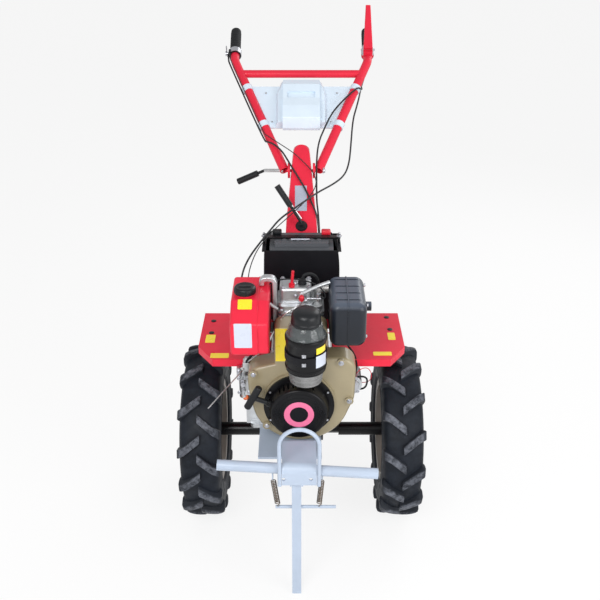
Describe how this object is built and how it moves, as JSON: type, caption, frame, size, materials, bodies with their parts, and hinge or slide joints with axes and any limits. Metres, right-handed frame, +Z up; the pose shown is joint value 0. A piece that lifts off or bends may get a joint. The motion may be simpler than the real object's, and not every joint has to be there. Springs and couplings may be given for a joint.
{
  "type": "walk-behind power tiller",
  "caption": "Walk-behind power tiller with an air-cooled diesel engine, lugged drive wheels, a drop stand with a bumper, red fenders and a raked handlebar with a console.",
  "frame": {"origin": "on the floor, under the middle of the machine's length and width", "axes": "+Z up, -Y the front of the machine where the stand is, +X the left of an operator who stands at the grips"},
  "size_m": [0.786, 1.4355, 1.5507],
  "materials": {
    "tyre_rubber": "matte",
    "rim_paint": "satin",
    "black_paint": "satin",
    "red_paint": "gloss",
    "enamel_grey": "gloss",
    "gearbox_alloy": "cast",
    "engine_alloy": "cast",
    "engine_iron": "cast",
    "shroud_paint": "satin",
    "exhaust_steel": "heat darkened",
    "bright_steel": "zinc plated",
    "black_plastic": "moulded",
    "battery_case": "moulded",
    "console_plastic": "moulded",
    "clear_bowl": "clear",
    "grip_rubber": "matte",
    "red_plastic": "moulded",
    "orange_plastic": "moulded",
    "cable_jacket": "smooth",
    "grey_jacket": "smooth"
  },
  "bodies": {
    "chassis": {"air_cleaner_base": "engine_alloy", "air_cleaner_body": "black_plastic", "air_cleaner_bowl": "clear_bowl", "air_cleaner_cap": "black_plastic", "battery": "battery_case", "battery_box": "black_paint", "battery_clamp": "black_paint", "bumper_tube": "enamel_grey", "clutch_cable": "cable_jacket", "clutch_housing": "gearbox_alloy", "crankcase": "engine_alloy", "cylinder_barrel": "engine_iron", "cylinder_head": "engine_alloy", "decompression_cable": "grey_jacket", "decompression_lever": "red_plastic", "dipstick": "orange_plastic", "engine_bed": "enamel_grey", "exhaust_pipe": "exhaust_steel", "fan_shroud": "shroud_paint", "fender_bracket": "red_paint", "fender_left": "red_paint", "fender_right": "red_paint", "front_apron": "enamel_grey", "fuel_pump": "engine_alloy", "fuel_tank": "red_paint", "gear_lever": "bright_steel", "gearbox": "gearbox_alloy", "guard_hoop": "enamel_grey", "handle_column": "red_paint", "hitch": "gearbox_alloy", "injector": "bright_steel", "intake_duct": "engine_alloy", "muffler": "black_paint", "recoil_cover": "black_paint", "recoil_handle": "black_plastic", "rocker_cover": "engine_alloy", "stand_springs": "bright_steel", "starter_motor": "engine_alloy", "stop_cable": "grey_jacket", "tank_cap": "black_plastic", "throttle_cable": "cable_jacket"},
    "wheel_left": {"hub_left": "black_paint", "rim_left": "rim_paint", "tyre_left": "tyre_rubber"},
    "wheel_right": {"hub_right": "black_paint", "rim_right": "rim_paint", "tyre_right": "tyre_rubber"},
    "stand": {"stand_leg": "enamel_grey"},
    "handlebar": {"clutch_lever": "red_plastic", "console": "console_plastic", "grip_left": "grip_rubber", "grip_right": "grip_rubber", "handlebar_frame": "red_paint", "lock_lever": "bright_steel", "throttle_lever": "black_plastic"}
  },
  "joints": [
    {"name": "wheel_left_spin", "type": "hinge", "parent": "chassis", "child": "wheel_left", "pos_m": [0.325, -0.25, 0.29], "axis": [1, 0, 0], "continuous": true},
    {"name": "wheel_right_spin", "type": "hinge", "parent": "chassis", "child": "wheel_right", "pos_m": [-0.325, -0.25, 0.29], "axis": [1, 0, 0], "continuous": true},
    {"name": "stand_hinge", "type": "hinge", "parent": "chassis", "child": "stand", "pos_m": [-0.015, -0.678, 0.429], "axis": [1, 0, 0], "range_deg": [0, 55], "deforming": ["stand_springs"]},
    {"name": "handlebar_tilt", "type": "hinge", "parent": "chassis", "child": "handlebar", "pos_m": [0, 0.15, 1.085], "axis": [1, 0, 0], "range_deg": [-15, 15], "deforming": ["clutch_cable", "decompression_cable", "stop_cable", "throttle_cable"]}
  ]
}
